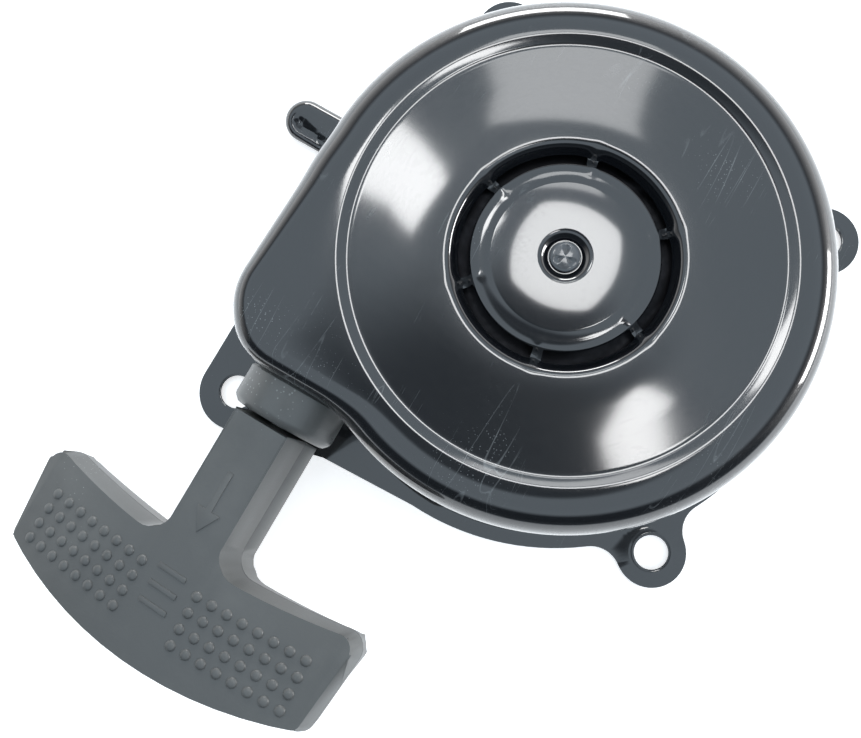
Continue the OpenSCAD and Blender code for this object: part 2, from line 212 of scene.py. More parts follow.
for turn, stretch in ((25, 0.05), (-48, 0.08)):
    lay = add_node(marks, "ShaderNodeMapping",
                   values={"Rotation": (0, 0, radians(turn)), "Scale": (1, stretch, 0.6)},
                   links={"Vector": marks_in.outputs["Place"]})
    strands = add_node(marks, "ShaderNodeTexNoise", values={"Detail": 0.0},
                       links={"Vector": lay.outputs[0], "Scale": marks_in.outputs["Scratch Scale"]})
    off = add_node(marks, "ShaderNodeMath", {"operation": "SUBTRACT"}, {1: 0.5}, {0: strands.outputs["Fac"]})
    size = add_node(marks, "ShaderNodeMath", {"operation": "ABSOLUTE"}, links={0: off.outputs[0]})
    line = add_node(marks, "ShaderNodeMapRange", values={1: 0.002, 2: 0.009, 3: 1.0, 4: 0.0},
                    links={0: size.outputs[0]})
    scratch_lines.append(line)
scratch_line = add_node(marks, "ShaderNodeMath", {"operation": "MAXIMUM"},
                        links={0: scratch_lines[0].outputs[0], 1: scratch_lines[1].outputs[0]})
scratch_patch = add_node(marks, "ShaderNodeMapRange", values={1: 0.54, 2: 0.70, 3: 0.0, 4: 1.0},
                         links={0: cloud.outputs["Fac"]})
scratch_cut = add_node(marks, "ShaderNodeMath", {"operation": "MULTIPLY"},
                       links={0: scratch_line.outputs[0], 1: scratch_patch.outputs[0]})
marks.links.new(scratch_cut.outputs[0], marks_out.inputs["Scratches"])


def finish(name, colour, roughness, metallic=0.0):
    """A new material; returns it with its tree, its shader and its Object coordinates."""
    material = bpy.data.materials.new(name)
    material.use_nodes = True
    tree = material.node_tree
    shader = tree.nodes["Principled BSDF"]
    shader.inputs["Base Color"].default_value = (*colour, 1)
    shader.inputs["Roughness"].default_value = roughness
    shader.inputs["Metallic"].default_value = metallic
    place = tree.nodes.new("ShaderNodeTexCoord")
    return material, tree, shader, place.outputs["Object"]


def marked(tree, place, cloud_scale, speck_scale, scratch_scale):
    """The handling marks, placed in a material with their scales per metre."""
    group = tree.nodes.new("ShaderNodeGroup")
    group.node_tree = marks
    tree.links.new(place, group.inputs["Place"])
    group.inputs["Cloud Scale"].default_value = cloud_scale
    group.inputs["Speck Scale"].default_value = speck_scale
    group.inputs["Scratch Scale"].default_value = scratch_scale
    return group


def spread(tree, source, low, high, start=0.3, end=0.7):
    """A mask turned into a value that runs from low to high."""
    return add_node(tree, "ShaderNodeMapRange", values={1: start, 2: end, 3: low, 4: high},
                    links={0: source}).outputs[0]


def between(tree, mask, first, second):
    """A colour that goes from first to second with the mask."""
    mix = add_node(tree, "ShaderNodeMix", {"data_type": "RGBA"}, links={0: mask})
    mix.inputs[6].default_value = (*first, 1)
    if isinstance(second, tuple):
        mix.inputs[7].default_value = (*second, 1)
    else:
        tree.links.new(second, mix.inputs[7])
    return mix.outputs[2]


def relief(tree, shader, height, distance, strength=1.0, normal=None):
    """A bump of that depth in metres, laid over an earlier one."""
    bump = add_node(tree, "ShaderNodeBump", values={"Distance": distance, "Strength": strength},
                    links={"Height": height})
    if normal is not None:
        tree.links.new(normal, bump.inputs["Normal"])
    tree.links.new(bump.outputs["Normal"], shader.inputs["Normal"])
    return bump.outputs["Normal"]


# ---- starter case -----------------------------------------------------------
# One deep-drawn sheet of 1.4 mm steel, painted gloss black: a round cup with a shallow disc,
# a ring of lanced vent slots, a rope exit pocket at one corner and a flange with four ears.
case_r = 50
case_h = 36
sheet = 1.4
bend = 8.4
rim_r = case_r - bend
ring_steps = 240
web_first, web_pitch, web_half = 43, 60, 3.1
boss_r, web_reach = 14.5, 27
slot_in, slot_out, slot_mid = 17.3, 19.3, 18.3
pinch_width, pinch_lift, pinch_ragged = 3.4, 0.35, 0.2
exit_y = -44.5
corner_at, corner_r = (-37.1, -30.7), 13.8
root_way = radians(178.2)
pocket_end = radians(262)
exit_tighter = 3.2
case_skin = [
    (2.0, 34.3), (2.8, 34.2), (3.1, 34.2), (3.5, 34.45), (4.05, 35.0), (4.4, 35.3), (4.7, 35.39), (5.2, 35.4),
    (9.5, 35.4), (13.4, 35.4), (13.8, 35.37), (14.2, 35.26), (15.4, 35.2), (16.8, 35.14), (17.1, 35.0),
    (17.35, 34.4), (18.2, 33.3), (19.1, 33.0), (19.4, 33.05), (19.8, 33.45), (20.25, 34.2), (20.65, 34.85),
    (21.05, 35.22), (21.5, 35.37), (22.1, 35.4), (28.0, 35.4), (33.5, 35.4), (38.6, 35.4), (39.3, 35.42),
    (39.6, 35.46), (39.9, 35.54), (41.1, 35.9), (41.45, 35.97), (41.7, 35.99)]
bend_rings = 18
bend_power = 2.6
wall_heights = [24, 19, 14, 9, 5, 3.4]
lip = [(50.12, 2.5), (50.45, 1.95), (50.95, 1.6), (51.6, 1.42), (52.0, 1.25)]


def toward(value, low, high):
    """0 below low, 1 above high, smooth between."""
    t = min(1, max(0, (value - low) / (high - low)))
    return t * t * (3 - 2 * t)


def ray_to_line(way, first, second):
    """How far from the reel's axis a ray meets the line through two points."""
    run = (second[0] - first[0], second[1] - first[1])
    across = way[0] * run[1] - way[1] * run[0]
    return (first[0] * run[1] - first[1] * run[0]) / across


def pocket_reach(angle, inset):
    """How far the pocket's wall is from the reel's axis, drawn in by inset."""
    side_in = inset * (0.62 if inset > 0 else 0.3)
    exit_in = inset * (0.62 if inset > 0 else 0.8)
    wide, deep = corner_r - side_in, corner_r - exit_in
    way = (cos(angle), sin(angle))
    root = ((case_r - inset) * cos(root_way), (case_r - inset) * sin(root_way))
    turn_in = (corner_at[0] + wide * cos(root_way), corner_at[1] + deep * sin(root_way))
    turn_out = (corner_at[0], corner_at[1] - deep)
    if angle < atan2(turn_in[1], turn_in[0]) + tau:
        return ray_to_line(way, root, turn_in)
    if angle > atan2(turn_out[1], turn_out[0]) + tau:
        return turn_out[1] / way[1]
    a = (way[0] / wide) ** 2 + (way[1] / deep) ** 2
    b = way[0] * corner_at[0] / wide ** 2 + way[1] * corner_at[1] / deep ** 2
    c = (corner_at[0] / wide) ** 2 + (corner_at[1] / deep) ** 2 - 1
    return (b + sqrt(b * b - a * c)) / a


def case_reach(angle, inset):
    """How far the case's wall is from the reel's axis, drawn in by inset."""
    round_r = case_r - inset
    angle = angle % tau
    if not root_way < angle < pocket_end:
        return round_r
    pocket = pocket_reach(angle, inset)
    soft = (2.2 if inset < bend - 1 else 0.6) * toward(angle, root_way, root_way + 0.2)
    if soft == 0:
        return round_r
    gap = max(0, soft - abs(pocket - round_r)) / soft
    return max(pocket, round_r) + gap * gap * soft / 4


def bend_drop(angle):
    """How deep the top bend is round the case; it is tighter over the rope's exit."""
    turn = degrees(angle) % 360
    return bend - exit_tighter * toward(turn, 218, 226) * (1 - toward(turn, 240, 250))


def deselect_all():
    for other in bpy.context.selected_objects:
        other.select_set(False)


def pick(piece):
    """Makes one object the only selected and active one."""
    deselect_all()
    piece.select_set(True)
    bpy.context.view_layer.objects.active = piece


def new_mesh(name, points, edges=(), faces=()):
    """A mesh object from points in mm, linked, at the origin."""
    mesh = bpy.data.meshes.new(name)
    mesh.from_pydata([Vector(p) * MM for p in points], list(edges), list(faces))
    piece = bpy.data.objects.new(name, mesh)
    bpy.context.collection.objects.link(piece)
    return piece


def lathe(name, profile, steps, turn=360):
    """A half profile of (radius, height) in mm, spun round the Z axis."""
    edges = [(i, i + 1) for i in range(len(profile) - 1)]
    piece = new_mesh(name, [(r, 0, z) for r, z in profile], edges)
    pick(piece)
    bpy.ops.object.mode_set(mode="EDIT")
    bpy.ops.mesh.select_all(action="SELECT")
    bpy.ops.mesh.spin(steps=steps, angle=radians(turn), center=(0, 0, 0), axis=(0, 0, 1))
    bpy.ops.mesh.select_all(action="SELECT")
    bpy.ops.mesh.remove_doubles(threshold=0.003 * MM)
    bpy.ops.mesh.normals_make_consistent(inside=False)
    bpy.ops.object.mode_set(mode="OBJECT")
    return piece


def modify(piece, kind, **settings):
    """Adds a modifier and applies it."""
    pick(piece)
    modifier = piece.modifiers.new(kind.lower(), kind)
    for key, value in settings.items():
        setattr(modifier, key, value)
    bpy.ops.object.modifier_apply(modifier=modifier.name)


def combine(piece, other, operation):
    """Joins or cuts a piece with another, which is used up."""
    modify(piece, "BOOLEAN", object=other, operation=operation, solver="MANIFOLD")
    bpy.data.objects.remove(other)


def smooth(piece, angle=30):
    pick(piece)
    bpy.ops.object.shade_smooth_by_angle(angle=radians(angle))


def clear_selection(piece, kind):
    """Leaves the mesh with nothing selected, ready to pick vertices, edges or faces by code."""
    pick(piece)
    bpy.ops.object.mode_set(mode="EDIT")
    bpy.ops.mesh.select_mode(type=kind)
    bpy.ops.mesh.select_all(action="DESELECT")
    bpy.ops.object.mode_set(mode="OBJECT")


def delete_faces(piece, wanted):
    """Deletes the faces whose centre and normal, centre in mm, are wanted."""
    clear_selection(piece, "FACE")
    for face in piece.data.polygons:
        face.select = wanted(face.center / MM, face.normal)
    bpy.ops.object.mode_set(mode="EDIT")
    bpy.ops.mesh.delete(type="FACE")
    bpy.ops.object.mode_set(mode="OBJECT")


def web_gap(angle):
    """Degrees from the nearest web."""
    return abs((degrees(angle) - web_first + web_pitch / 2) % web_pitch - web_pitch / 2)


skin = list(case_skin)
for i in range(1, bend_rings + 1):
    rise = radians(90 * (1 - i / bend_rings))
    out, up = abs(cos(rise)) ** (2 / bend_power), abs(sin(rise)) ** (2 / bend_power)
    skin.append((rim_r + bend * out, case_h - bend + bend * up))
skin += [(case_r, z) for z in wall_heights] + lip

case = lathe("case_shell", skin, ring_steps)
for vertex in case.data.vertices:
    x, y, z = vertex.co / MM
    r = hypot(x, y)
    angle = atan2(y, x)
    if r > rim_r + 0.3:
        inset = case_r - r
        if z > case_h - bend:
            z = case_h - (case_h - z) * bend_drop(angle) / bend
        r = case_reach(angle, inset)
    elif boss_r < r < web_reach:
        pinch = exp(-(web_gap(angle) / pinch_width) ** 2)
        ragged = sin(7 * angle + 3 * r) * sin(23 * angle)
        if r < 21.4:
            z += pinch * (pinch_lift + pinch_ragged * ragged) * toward(2.2 - abs(r - slot_mid), 0, 1.8)
        pinch_out = 0.22 * toward(r, 20.6, 21.4) * (1 - toward(r, 21.8, 25))
        pinch_in = 0.5 * toward(r, 18.8, 19.6) * (1 - toward(r, 19.9, 20.8))
        r += pinch * (pinch_out - pinch_in)
    vertex.co = Vector((r * cos(angle), r * sin(angle), z)) * MM

delete_faces(case, lambda c, n: slot_in < hypot(c.x, c.y) < slot_out and web_gap(atan2(c.y, c.x)) > web_half)
if case.data.polygons[0].normal.z < 0:
    case.data.flip_normals()
modify(case, "SOLIDIFY", thickness=sheet * MM, offset=-1, use_even_offset=True, use_rim=True)

# The flange: a flat ring round the foot of the wall, with its ears and holes.
flange_r = 54
ear_r, ear_fillet, hole_r = 7.2, 6, 3.5
ears = [(44.5, -37.5), (44.5, 37.5), (-36, 45)]
low_ear, low_ear_r = (-47, -52), 8.3


def arc(centre, r, start, end, steps):
    """Points along an arc in degrees, both ends included."""
    turns = [radians(start + (end - start) * i / steps) for i in range(steps + 1)]
    return [(centre[0] + r * cos(t), centre[1] + r * sin(t)) for t in turns]


def ear_outline(at):
    """Counterclockwise round one ear: a concave corner, the round end and the other corner."""
    out, half = hypot(*at), ear_r + ear_fillet
    corner_x = sqrt((flange_r + ear_fillet) ** 2 - half ** 2)
    tilt = degrees(asin(half / (flange_r + ear_fillet)))
    points = arc((corner_x, -half), ear_fillet, 180 - tilt, 90, 10)
    points += arc((out, 0), ear_r, -88, 88, 28)
    points += arc((corner_x, half), ear_fillet, 270, 180 + tilt, 10)
    facing = Matrix.Rotation(atan2(at[1], at[0]), 2)
    return [tuple(facing @ Vector(p)) for p in points], degrees(atan2(at[1], at[0])), tilt


outline = []
last = -93
for at in ears:
    points, facing, tilt = ear_outline(at)
    outline += arc((0, 0), flange_r, last, facing - tilt - 0.5, int((facing - tilt - last) / 2.5)) + points
    last = facing + tilt + 0.5
outline += arc((0, 0), flange_r, last, 194, int((194 - last) / 2.5))
outline += [(-55.1, -30)] + arc(low_ear, low_ear_r - 0.1, 180, 283, 28) + [(-24, -54.8)]


def closed_loop(points, start):
    """Edges round a closed outline whose first point is number start."""
    count = len(points)
    return [(start + i, start + (i + 1) % count) for i in range(count)]


inner_steps = 160
inner = [(case_reach(t, 0.7) * cos(t), case_reach(t, 0.7) * sin(t))
         for t in [i * tau / inner_steps for i in range(inner_steps)]]
holes = ears + [low_ear]
rim_steps = 36
rim_profile = [(4.7, 0), (4.3, 0.13), (3.9, 0.2), (hole_r, 0.05)]
loops = [outline, inner] + [arc(at, rim_profile[0][0], 0, 350, rim_steps - 1) for at in holes]
points, edges = [], []
for loop in loops:
    edges += closed_loop(loop, len(points))
    points += [(x, y, sheet) for x, y in loop]
flange = new_mesh("flange", points, edges)
pick(flange)
bpy.ops.object.mode_set(mode="EDIT")
bpy.ops.mesh.select_all(action="SELECT")
bpy.ops.mesh.fill(use_beauty=True)
bpy.ops.object.mode_set(mode="OBJECT")
points, faces = [], []
for at in holes:
    for r, rise in rim_profile:
        points += [(x, y, sheet + rise) for x, y in arc(at, r, 0, 350, rim_steps - 1)]
    for ring in range(len(points) - len(rim_profile) * rim_steps, len(points) - rim_steps, rim_steps):
        for k in range(rim_steps):
            on = (k + 1) % rim_steps
            faces.append((ring + k, ring + on, ring + rim_steps + on, ring + rim_steps + k))
rims = new_mesh("hole_rims", points, faces=faces)
pick(rims)
flange.select_set(True)
bpy.context.view_layer.objects.active = flange
bpy.ops.object.join()
bpy.ops.object.mode_set(mode="EDIT")
bpy.ops.mesh.select_all(action="SELECT")
bpy.ops.mesh.remove_doubles(threshold=0.003 * MM)
bpy.ops.mesh.normals_make_consistent(inside=False)
bpy.ops.object.mode_set(mode="OBJECT")
if flange.data.polygons[0].normal.z < 0:
    flange.data.flip_normals()
modify(flange, "SOLIDIFY", thickness=sheet * MM, offset=-1)
modify(flange, "BEVEL", width=0.55 * MM, segments=3, limit_method="ANGLE", angle_limit=radians(50))
combine(case, flange, "UNION")

# The lug: a folded tab with a full round edge and a dent where the fold closes.
lug_at, lug_r, lug_t = (-64.4, 6), 4.55, 4.4
lug_root, lug_stretch = -15.7, 18
dent_depth = 1.3
edge_r = lug_t / 2
section = [(r, lug_t) for r in (0, 0.8, 1.6)]
section += [(lug_r - edge_r + edge_r * cos(t), edge_r + edge_r * sin(t))
            for t in [radians(90 - 15 * i) for i in range(13)]]
section += [(r, 0) for r in (1.6, 0.8, 0)]
lug = lathe("lug", section, 48)
for vertex in lug.data.vertices:
    if vertex.co.y < -0.01 * MM:
        vertex.co.y -= lug_stretch * MM
pick(lug)
bpy.ops.object.mode_set(mode="EDIT")
for step in range(17):
    bpy.ops.mesh.select_all(action="SELECT")
    bpy.ops.mesh.bisect(plane_co=(0, (3.2 - 1.1 * step) * MM, 0), plane_no=(0, 1, 0))
for step in range(11):
    bpy.ops.mesh.select_all(action="SELECT")
    bpy.ops.mesh.bisect(plane_co=((4 - 0.8 * step) * MM, 0, 0), plane_no=(1, 0, 0))
bpy.ops.mesh.select_all(action="SELECT")
bpy.ops.mesh.bisect(plane_co=(0, lug_root * MM, 0), plane_no=(0, 1, 0), clear_inner=True, use_fill=True)
bpy.ops.mesh.select_all(action="SELECT")
bpy.ops.mesh.normals_make_consistent(inside=False)
bpy.ops.object.mode_set(mode="OBJECT")
lug.data.transform(Matrix.Translation((lug_at[0] * MM, lug_at[1] * MM, 0)) @ Matrix.Rotation(pi / 2, 4, "Z"))
for vertex in lug.data.vertices:
    x, y, z = vertex.co / MM
    fold = y - 4.6 + 0.22 * (x + 64)
    across = exp(-(fold / (0.9 if fold > 0 else 2.0)) ** 2)
    dent = dent_depth * across * toward(x, -67.5, -64.5) * toward(z, 1.5, 3)
    vertex.co.z -= dent * MM
combine(case, lug, "UNION")

guide_x, guide_z = -32, 20
bpy.ops.mesh.primitive_cylinder_add(
    vertices=64, radius=7 * MM, depth=8 * MM, location=(guide_x * MM, exit_y * MM, guide_z * MM),
    rotation=(pi / 2, 0, 0))
combine(case, bpy.context.object, "DIFFERENCE")
smooth(case, 32)

paint, tree, shader, place = finish("gloss black paint", (0.007, 0.008, 0.010), 0.3)
shader.inputs["Coat Weight"].default_value = 1.0
shader.inputs["Coat Roughness"].default_value = 0.07
shader.inputs["Coat IOR"].default_value = 1.75
shader.inputs["Specular IOR Level"].default_value = 0.12
shader.inputs["Anisotropic"].default_value = 0.8
wear = marked(tree, place, 45, 1700, 260)
split = add_node(tree, "ShaderNodeSeparateXYZ", links={0: place})
back = add_node(tree, "ShaderNodeMath", {"operation": "MULTIPLY"}, {1: -1.0}, {0: split.outputs["Y"]})
round_way = add_node(tree, "ShaderNodeCombineXYZ", links={0: back.outputs[0], 1: split.outputs["X"]})
tree.links.new(round_way.outputs[0], shader.inputs["Tangent"])
radius = add_node(tree, "ShaderNodeVectorMath", {"operation": "LENGTH"}, links={0: round_way.outputs[0]})
bearing = add_node(tree, "ShaderNodeMath", {"operation": "ARCTAN2"},
                   links={0: split.outputs["Y"], 1: split.outputs["X"]})
slow = add_node(tree, "ShaderNodeMath", {"operation": "MULTIPLY"}, {1: 0.012}, {0: bearing.outputs[0]})
polar = add_node(tree, "ShaderNodeCombineXYZ", links={0: radius.outputs["Value"], 1: slow.outputs[0]})
swirl = add_node(tree, "ShaderNodeTexNoise", values={"Scale": 900.0, "Detail": 4.0, "Roughness": 0.7},
                 links={"Vector": polar.outputs[0]})
haze = add_node(tree, "ShaderNodeMath", {"operation": "MULTIPLY"},
                links={0: swirl.outputs["Fac"], 1: wear.outputs["Cloud"]})
tree.links.new(spread(tree, haze.outputs[0], 0.20, 0.36, 0.14, 0.40), shader.inputs["Roughness"])
dusty = add_node(tree, "ShaderNodeMath", {"operation": "MAXIMUM"},
                 links={0: wear.outputs["Specks"], 1: wear.outputs["Scratches"]})
dust_share = add_node(tree, "ShaderNodeMath", {"operation": "MULTIPLY"}, {1: 0.35}, {0: dusty.outputs[0]})
tree.links.new(between(tree, dust_share.outputs[0], (0.007, 0.008, 0.010), (0.30, 0.32, 0.33)),
               shader.inputs["Base Color"])
orange_peel = add_node(tree, "ShaderNodeTexNoise", values={"Scale": 420.0, "Detail": 2.0},
                       links={"Vector": place})
first = relief(tree, shader, orange_peel.outputs["Fac"], 0.00004, 1.0)
first = relief(tree, shader, swirl.outputs["Fac"], 0.000004, 0.5, first)
relief(tree, shader, dusty.outputs[0], 0.00002, 0.4, first)
case.data.materials.clear()
case.data.materials.append(paint)
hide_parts("starter_case")
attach(case, "case")

# ---- rope guide -------------------------------------------------------------
# A grey PVC bush that snaps into the pocket's hole: a thick collar outside, a lip inside and
# a bore with round mouths for the rope.
collar_r, collar_len, neck_r, lip_r, bore_r = 10.5, 8, 7, 8.2, 2.4
neck_end, lip_end = -sheet - 0.4, -3.3
guide_profile = [(bore_r + 0.9, collar_len), (9.0, collar_len), (9.4, collar_len - 0.1),
                 (10.1, collar_len - 0.8), (10.4, collar_len - 1.2), (collar_r, collar_len - 1.7),
                 (collar_r, 4.2), (collar_r - 0.04, 2.0), (collar_r, 0.5), (collar_r - 0.4, 0.05),
                 (collar_r - 0.8, 0), (neck_r, 0), (neck_r, neck_end), (lip_r - 0.3, neck_end),
                 (lip_r, neck_end - 0.4), (lip_r - 0.6, lip_end), (bore_r + 0.8, lip_end),
                 (bore_r + 0.2, lip_end + 0.3), (bore_r, lip_end + 0.8), (bore_r, collar_len - 0.9),
                 (bore_r + 0.25, collar_len - 0.3), (bore_r + 0.9, collar_len)]
guide = lathe("guide_collar", guide_profile, 96)
outward = Matrix.Rotation(pi / 2, 4, "X")
guide.data.transform(Matrix.Translation((guide_x * MM, exit_y * MM, guide_z * MM)) @ outward)
smooth(guide, 35)


def pvc_finish(name, shine, dull):
    """Grey PVC with wiping marks, pale specks and a fine moulded grain."""
    material, tree, shader, place = finish(name, (0.105, 0.112, 0.114), dull)
    wear = marked(tree, place, 38, 1100, 420)
    tree.links.new(spread(tree, wear.outputs["Cloud"], shine, dull), shader.inputs["Roughness"])
    share = add_node(tree, "ShaderNodeMath", {"operation": "MULTIPLY"}, {1: 0.5}, {0: wear.outputs["Specks"]})
    pale = between(tree, spread(tree, wear.outputs["Cloud"], 0.0, 1.0, 0.45, 0.75), (0.092, 0.095, 0.094),
                   (0.126, 0.129, 0.126))
    speckled = add_node(tree, "ShaderNodeMix", {"data_type": "RGBA"}, links={0: share.outputs[0], 6: pale})
    speckled.inputs[7].default_value = (0.34, 0.35, 0.35, 1)
    tree.links.new(speckled.outputs[2], shader.inputs["Base Color"])
    grain = add_node(tree, "ShaderNodeTexNoise", values={"Scale": 1500.0, "Detail": 3.0, "Roughness": 0.6},
                     links={"Vector": place})
    first = relief(tree, shader, grain.outputs["Fac"], 0.00005, 0.5)
    relief(tree, shader, wear.outputs["Scratches"], 0.00002, -0.3, first)
    return material


collar_pvc = pvc_finish("collar pvc", 0.24, 0.36)
guide.data.materials.append(collar_pvc)
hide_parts("rope_guide")
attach(guide, "case")

# ---- handle -----------------------------------------------------------------
# A solid PVC T handle from a two-part mould: a parting line round its middle, drafted sides,
# crowned faces, and a pad of round dots on each arm.
handle_y = exit_y - collar_len - 0.3
handle_len, half_wide, half_thick, stem_half = 51.4, 37, 8.6, 6.6
low_y = handle_y - handle_len
crotch_y = low_y + 23.5
face_r = 200
roll = radians(11)
bottom_arc, top_arc = 95, 172


def rounded(points, radii, steps=7):
    """A closed outline with each corner turned into an arc of its own radius."""
    shape = []
    count = len(points)
    for i, r in enumerate(radii):
        here = Vector(points[i])
        back_way = (Vector(points[i - 1]) - here).normalized()
        on_way = (Vector(points[(i + 1) % count]) - here).normalized()
        if r == 0:
            shape.append(tuple(here))
            continue
        half = back_way.angle(on_way) / 2
        reach = r / sin(half)
        centre = here + (back_way + on_way).normalized() * reach
        start = here + back_way * r / (sin(half) / cos(half)) - centre
        end = here + on_way * r / (sin(half) / cos(half)) - centre
        swing = start.angle_signed(end)
        for k in range(steps + 1):
            turned = Matrix.Rotation(-swing * k / steps, 2) @ start
            shape.append(tuple(centre + turned))
    return shape


def arm_bottom(u):
    return low_y + bottom_arc - sqrt(bottom_arc ** 2 - u * u)


arm_end_y = crotch_y + top_arc - sqrt(top_arc ** 2 - half_wide ** 2)
tip_u = half_wide - 2.0
half_outline = [(stem_half, handle_y, 0.8), (stem_half, crotch_y + 0.1, 4.4)]
half_outline += [(u, crotch_y + top_arc - sqrt(top_arc ** 2 - u * u), 0) for u in (14, 18, 22, 26, 30)]
half_outline += [(half_wide, arm_end_y, 3.6), (tip_u, arm_bottom(tip_u), 2.6)]
half_outline += [(u, arm_bottom(u), 0) for u in (30, 25, 20, 15, 10, 5)]
corners = half_outline + [(0, low_y, 0)] + [(-u, y, r) for u, y, r in reversed(half_outline)]
shape = rounded([(u, y) for u, y, r in corners], [r for u, y, r in corners])
handle = new_mesh("t_handle", [(u, y, 0) for u, y in shape], faces=[list(range(len(shape)))])
if handle.data.polygons[0].normal.z < 0:
    handle.data.flip_normals()
parting, draft = 0.18, 0.85
pick(handle)
bpy.ops.object.mode_set(mode="EDIT")
bpy.ops.mesh.select_mode(type="FACE")
bpy.ops.mesh.select_all(action="SELECT")
bpy.ops.mesh.extrude_region_move(TRANSFORM_OT_translate={"value": (0, 0, parting * MM)})
bpy.ops.mesh.inset(thickness=draft * MM, depth=(half_thick - parting) * MM)
for u in range(-36, 37, 2):
    bpy.ops.mesh.select_all(action="SELECT")
    bpy.ops.mesh.bisect(plane_co=(u * MM, 0, 0), plane_no=(1, 0, 0))
bpy.ops.object.mode_set(mode="OBJECT")


def crown(u):
    """Half the handle's thickness at that distance from its middle."""
    return half_thick - face_r + sqrt(face_r ** 2 - u * u)


for vertex in handle.data.vertices:
    if vertex.co.z > 4 * MM:
        vertex.co.z = crown(vertex.co.x / MM) * MM
delete_faces(handle, lambda c, n: c.z < 0.01 and abs(n.z) > 0.9)
modify(handle, "MIRROR", use_axis=(False, False, True), merge_threshold=0.01 * MM)
pick(handle)
bpy.ops.object.mode_set(mode="EDIT")
bpy.ops.mesh.select_all(action="SELECT")
bpy.ops.mesh.normals_make_consistent(inside=False)
bpy.ops.object.mode_set(mode="OBJECT")
clear_selection(handle, "VERT")
for vertex in handle.data.vertices:
    vertex.select = abs(vertex.co.z) < 0.01 * MM
bpy.ops.object.mode_set(mode="EDIT")
bpy.ops.transform.shrink_fatten(value=-0.13 * MM)
bpy.ops.object.mode_set(mode="OBJECT")
modify(handle, "BEVEL", width=1.15 * MM, segments=4, limit_method="ANGLE", angle_limit=radians(62))

# The rope's bore down the stem, and the open pocket below it that holds the knot.
pocket_y = low_y + 11
for r, top, bottom in ((2, handle_y + 1, low_y - 1), (5.2, pocket_y, low_y - 1)):
    bpy.ops.mesh.primitive_cylinder_add(
        vertices=48, radius=r * MM, depth=(top - bottom) * MM,
        location=(0, (top + bottom) / 2 * MM, 0), rotation=(pi / 2, 0, 0))
    combine(handle, bpy.context.object, "DIFFERENCE")

# One dot, copied over both pads on both faces.
dot_profile = [(0, 0.50), (0.42, 0.47), (0.76, 0.37), (0.97, 0.20), (1.06, 0.04), (1.12, -0.5), (0, -0.5)]
dot_first_u, dot_first_v, dot_pitch_u, dot_pitch_v, dot_sweep = 6.5, 33.7, 3.31, 3.27, radians(2.35)
dot = lathe("dot", dot_profile, 16)
raised_pieces = []
pads = [(face, side) for face in (1, -1) for side in (1, -1)]
places = [(column, row) for column in range(8) for row in range(4)]
for (face, side), (column, row) in [(pad, at) for pad in pads for at in places]:
    along, down = column * dot_pitch_u, row * dot_pitch_v
    u = dot_first_u + along * cos(dot_sweep) + down * sin(dot_sweep)
    v = dot_first_v + down * cos(dot_sweep) - along * sin(dot_sweep)
    one = bpy.data.objects.new("dot", dot.data.copy())
    bpy.context.collection.objects.link(one)
    lean = Matrix.Rotation(asin(side * u / face_r), 4, "Y")
    stand = Matrix.Translation((side * u * MM, (handle_y - v) * MM, crown(u) * MM)) @ lean
    one.data.transform(stand if face > 0 else Matrix.Rotation(pi, 4, "Y") @ stand)
    raised_pieces.append(one)
bpy.data.objects.remove(dot)

# A plain raised arrow in the pull's direction, and three bars below it, on the front face.
mark_rise, mark_sunk = 0.22, 0.4
arrow = [(-0.6, 11.5), (0.6, 11.5), (0.6, 19.5), (2.6, 19.5), (0, 24.0), (-2.6, 19.5), (-0.6, 19.5)]
bars = [[(-3.2, v), (3.2, v), (3.2, v + 1.0), (-3.2, v + 1.0)] for v in (32.0, 35.5, 39.0)]
for number, points in enumerate([arrow] + bars):
    base = half_thick - mark_sunk
    raised = new_mesh(f"mark_{number}", [(u, handle_y - v, base) for u, v in points],
                      faces=[list(range(len(points)))])
    if raised.data.polygons[0].normal.z < 0:
        raised.data.flip_normals()
    modify(raised, "SOLIDIFY", thickness=(mark_sunk + mark_rise) * MM, offset=1)
    modify(raised, "BEVEL", width=0.12 * MM, segments=2, limit_method="ANGLE", angle_limit=radians(30))
    raised_pieces.append(raised)
deselect_all()
for piece in raised_pieces + [handle]:
    piece.select_set(True)
bpy.context.view_layer.objects.active = handle
bpy.ops.object.join()
stand = Matrix.Translation((guide_x * MM, 0, guide_z * MM)) @ Matrix.Rotation(-roll, 4, "Y")
handle.data.transform(stand)
smooth(handle, 40)
handle.data.materials.clear()
handle.data.materials.append(pvc_finish("handle pvc", 0.32, 0.48))
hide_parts("handle")
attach(handle, "handle")

# ---- rope -------------------------------------------------------------------
# Braided white polyester cord, 3.2 mm thick and about 0.9 m long: four turns on the reel,
# a straight run through the guide and the handle, and a knot at each end.
rope_r = 1.6
braid_pitch, braid_sides, braid_depth = 7.0, 16, 0.07


